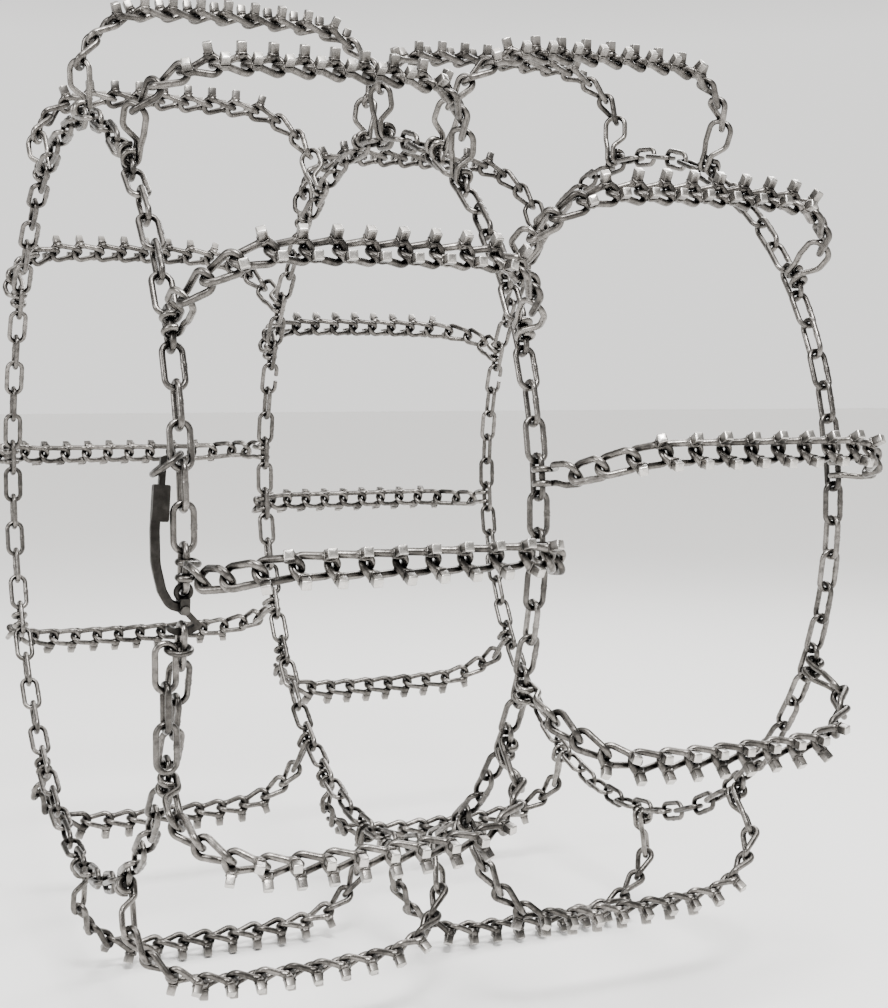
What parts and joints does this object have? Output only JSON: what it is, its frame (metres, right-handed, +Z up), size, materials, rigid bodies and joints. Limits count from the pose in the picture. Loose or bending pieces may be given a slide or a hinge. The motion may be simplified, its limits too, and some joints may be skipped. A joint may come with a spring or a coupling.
{
  "type": "tire snow chains",
  "caption": "Ladder-type tire snow chains for a pair of truck drive tires: three side rails, studded twisted-link cross chains on wire hooks, and a cam lever fastener",
  "frame": {"origin": "on the wheel axis, in the plane of the centre rail, midway between the two tires that the chains fit", "axes": "+Y along the wheel axis from the outer rail to the inner rail, +Z up, +X towards the side where the lever fastener lies"},
  "size_m": [1.1221, 0.7606, 1.1205],
  "materials": {
    "rail_wire": "bright zinc-plated wire, scuffed, dark in the crevices",
    "cross_chain_wire": "hardened cross-chain wire with welded bars, worn bright on the bar tips",
    "hook_wire": "bent plated hook wire with sheared ends",
    "forged_lever": "dark drop-forged steel, lightly oiled",
    "pin_steel": "turned steel pin, peened heads"
  },
  "bodies": {
    "side_rails": {"centre_rail": "rail_wire", "centre_rail_hook": "rail_wire", "gather_ring": "rail_wire", "inner_rail": "rail_wire", "inner_rail_hook": "rail_wire", "outer_rail": "rail_wire", "spare_rail_end": "rail_wire", "lever_fork": "forged_lever", "lever_pin": "pin_steel"},
    "outer_cross_01": {"outer_cross_chain_01": "cross_chain_wire", "outer_cross_hooks_01": "hook_wire"},
    "outer_cross_02": {"outer_cross_chain_02": "cross_chain_wire", "outer_cross_hooks_02": "hook_wire"},
    "outer_cross_03": {"outer_cross_chain_03": "cross_chain_wire", "outer_cross_hooks_03": "hook_wire"},
    "outer_cross_04": {"outer_cross_chain_04": "cross_chain_wire", "outer_cross_hooks_04": "hook_wire"},
    "outer_cross_05": {"outer_cross_chain_05": "cross_chain_wire", "outer_cross_hooks_05": "hook_wire"},
    "outer_cross_06": {"outer_cross_chain_06": "cross_chain_wire", "outer_cross_hooks_06": "hook_wire"},
    "outer_cross_07": {"outer_cross_chain_07": "cross_chain_wire", "outer_cross_hooks_07": "hook_wire"},
    "outer_cross_08": {"outer_cross_chain_08": "cross_chain_wire", "outer_cross_hooks_08": "hook_wire"},
    "outer_cross_09": {"outer_cross_chain_09": "cross_chain_wire", "outer_cross_hooks_09": "hook_wire"},
    "outer_cross_10": {"outer_cross_chain_10": "cross_chain_wire", "outer_cross_hooks_10": "hook_wire"},
    "outer_cross_11": {"outer_cross_chain_11": "cross_chain_wire", "outer_cross_hooks_11": "hook_wire"},
    "outer_cross_12": {"outer_cross_chain_12": "cross_chain_wire", "outer_cross_hooks_12": "hook_wire"},
    "inner_cross_01": {"inner_cross_chain_01": "cross_chain_wire", "inner_cross_hooks_01": "hook_wire"},
    "inner_cross_02": {"inner_cross_chain_02": "cross_chain_wire", "inner_cross_hooks_02": "hook_wire"},
    "inner_cross_03": {"inner_cross_chain_03": "cross_chain_wire", "inner_cross_hooks_03": "hook_wire"},
    "inner_cross_04": {"inner_cross_chain_04": "cross_chain_wire", "inner_cross_hooks_04": "hook_wire"},
    "inner_cross_05": {"inner_cross_chain_05": "cross_chain_wire", "inner_cross_hooks_05": "hook_wire"},
    "inner_cross_06": {"inner_cross_chain_06": "cross_chain_wire", "inner_cross_hooks_06": "hook_wire"},
    "inner_cross_07": {"inner_cross_chain_07": "cross_chain_wire", "inner_cross_hooks_07": "hook_wire"},
    "inner_cross_08": {"inner_cross_chain_08": "cross_chain_wire", "inner_cross_hooks_08": "hook_wire"},
    "inner_cross_09": {"inner_cross_chain_09": "cross_chain_wire", "inner_cross_hooks_09": "hook_wire"},
    "inner_cross_10": {"inner_cross_chain_10": "cross_chain_wire", "inner_cross_hooks_10": "hook_wire"},
    "inner_cross_11": {"inner_cross_chain_11": "cross_chain_wire", "inner_cross_hooks_11": "hook_wire"},
    "inner_cross_12": {"inner_cross_chain_12": "cross_chain_wire", "inner_cross_hooks_12": "hook_wire"},
    "keeper_ring": {"keeper_ring": "rail_wire"},
    "tension_lever": {"tension_lever": "forged_lever"}
  },
  "joints": [
    {"name": "outer_cross_01_sway", "type": "hinge", "parent": "side_rails", "child": "outer_cross_01", "pos_m": [0.03374, -0.184, 0.42867], "axis": [0, 1, 0], "range_deg": [-5, 5]},
    {"name": "outer_cross_02_sway", "type": "hinge", "parent": "side_rails", "child": "outer_cross_02", "pos_m": [0.24355, -0.184, 0.35437], "axis": [0, 1, 0], "range_deg": [-5, 5]},
    {"name": "outer_cross_03_sway", "type": "hinge", "parent": "side_rails", "child": "outer_cross_03", "pos_m": [0.38811, -0.184, 0.18512], "axis": [0, 1, 0], "range_deg": [-5, 5]},
    {"name": "outer_cross_04_sway", "type": "hinge", "parent": "side_rails", "child": "outer_cross_04", "pos_m": [0.42867, -0.184, -0.03374], "axis": [0, 1, 0], "range_deg": [-5, 5]},
    {"name": "outer_cross_05_sway", "type": "hinge", "parent": "side_rails", "child": "outer_cross_05", "pos_m": [0.35437, -0.184, -0.24355], "axis": [0, 1, 0], "range_deg": [-5, 5]},
    {"name": "outer_cross_06_sway", "type": "hinge", "parent": "side_rails", "child": "outer_cross_06", "pos_m": [0.18512, -0.184, -0.38811], "axis": [0, 1, 0], "range_deg": [-5, 5]},
    {"name": "outer_cross_07_sway", "type": "hinge", "parent": "side_rails", "child": "outer_cross_07", "pos_m": [-0.03374, -0.184, -0.42867], "axis": [0, 1, 0], "range_deg": [-5, 5]},
    {"name": "outer_cross_08_sway", "type": "hinge", "parent": "side_rails", "child": "outer_cross_08", "pos_m": [-0.24355, -0.184, -0.35437], "axis": [0, 1, 0], "range_deg": [-5, 5]},
    {"name": "outer_cross_09_sway", "type": "hinge", "parent": "side_rails", "child": "outer_cross_09", "pos_m": [-0.38811, -0.184, -0.18512], "axis": [0, 1, 0], "range_deg": [-5, 5]},
    {"name": "outer_cross_10_sway", "type": "hinge", "parent": "side_rails", "child": "outer_cross_10", "pos_m": [-0.42867, -0.184, 0.03374], "axis": [0, 1, 0], "range_deg": [-5, 5]},
    {"name": "outer_cross_11_sway", "type": "hinge", "parent": "side_rails", "child": "outer_cross_11", "pos_m": [-0.35437, -0.184, 0.24355], "axis": [0, 1, 0], "range_deg": [-5, 5]},
    {"name": "outer_cross_12_sway", "type": "hinge", "parent": "side_rails", "child": "outer_cross_12", "pos_m": [-0.18512, -0.184, 0.38811], "axis": [0, 1, 0], "range_deg": [-5, 5]},
    {"name": "inner_cross_01_sway", "type": "hinge", "parent": "side_rails", "child": "inner_cross_01", "pos_m": [0.17832, 0.184, 0.39128], "axis": [0, 1, 0], "range_deg": [-5, 5]},
    {"name": "inner_cross_02_sway", "type": "hinge", "parent": "side_rails", "child": "inner_cross_02", "pos_m": [0.35007, 0.184, 0.2497], "axis": [0, 1, 0], "range_deg": [-5, 5]},
    {"name": "inner_cross_03_sway", "type": "hinge", "parent": "side_rails", "child": "inner_cross_03", "pos_m": [0.42802, 0.184, 0.04121], "axis": [0, 1, 0], "range_deg": [-5, 5]},
    {"name": "inner_cross_04_sway", "type": "hinge", "parent": "side_rails", "child": "inner_cross_04", "pos_m": [0.39128, 0.184, -0.17832], "axis": [0, 1, 0], "range_deg": [-5, 5]},
    {"name": "inner_cross_05_sway", "type": "hinge", "parent": "side_rails", "child": "inner_cross_05", "pos_m": [0.2497, 0.184, -0.35007], "axis": [0, 1, 0], "range_deg": [-5, 5]},
    {"name": "inner_cross_06_sway", "type": "hinge", "parent": "side_rails", "child": "inner_cross_06", "pos_m": [0.04121, 0.184, -0.42802], "axis": [0, 1, 0], "range_deg": [-5, 5]},
    {"name": "inner_cross_07_sway", "type": "hinge", "parent": "side_rails", "child": "inner_cross_07", "pos_m": [-0.17832, 0.184, -0.39128], "axis": [0, 1, 0], "range_deg": [-5, 5]},
    {"name": "inner_cross_08_sway", "type": "hinge", "parent": "side_rails", "child": "inner_cross_08", "pos_m": [-0.35007, 0.184, -0.2497], "axis": [0, 1, 0], "range_deg": [-5, 5]},
    {"name": "inner_cross_09_sway", "type": "hinge", "parent": "side_rails", "child": "inner_cross_09", "pos_m": [-0.42802, 0.184, -0.04121], "axis": [0, 1, 0], "range_deg": [-5, 5]},
    {"name": "inner_cross_10_sway", "type": "hinge", "parent": "side_rails", "child": "inner_cross_10", "pos_m": [-0.39128, 0.184, 0.17832], "axis": [0, 1, 0], "range_deg": [-5, 5]},
    {"name": "inner_cross_11_sway", "type": "hinge", "parent": "side_rails", "child": "inner_cross_11", "pos_m": [-0.2497, 0.184, 0.35007], "axis": [0, 1, 0], "range_deg": [-5, 5]},
    {"name": "inner_cross_12_sway", "type": "hinge", "parent": "side_rails", "child": "inner_cross_12", "pos_m": [-0.04121, 0.184, 0.42802], "axis": [0, 1, 0], "range_deg": [-5, 5]},
    {"name": "keeper_ring_swing", "type": "hinge", "parent": "side_rails", "child": "keeper_ring", "pos_m": [0.41481, -0.359, 0.06895], "axis": [-0.9865, 0, -0.164], "range_deg": [0, 70]},
    {"name": "tension_lever_pin", "type": "hinge", "parent": "side_rails", "child": "tension_lever", "pos_m": [0.41468, -0.358, -0.06971], "axis": [0.9863, 0, -0.165], "range_deg": [-0.3, 0.3]}
  ]
}
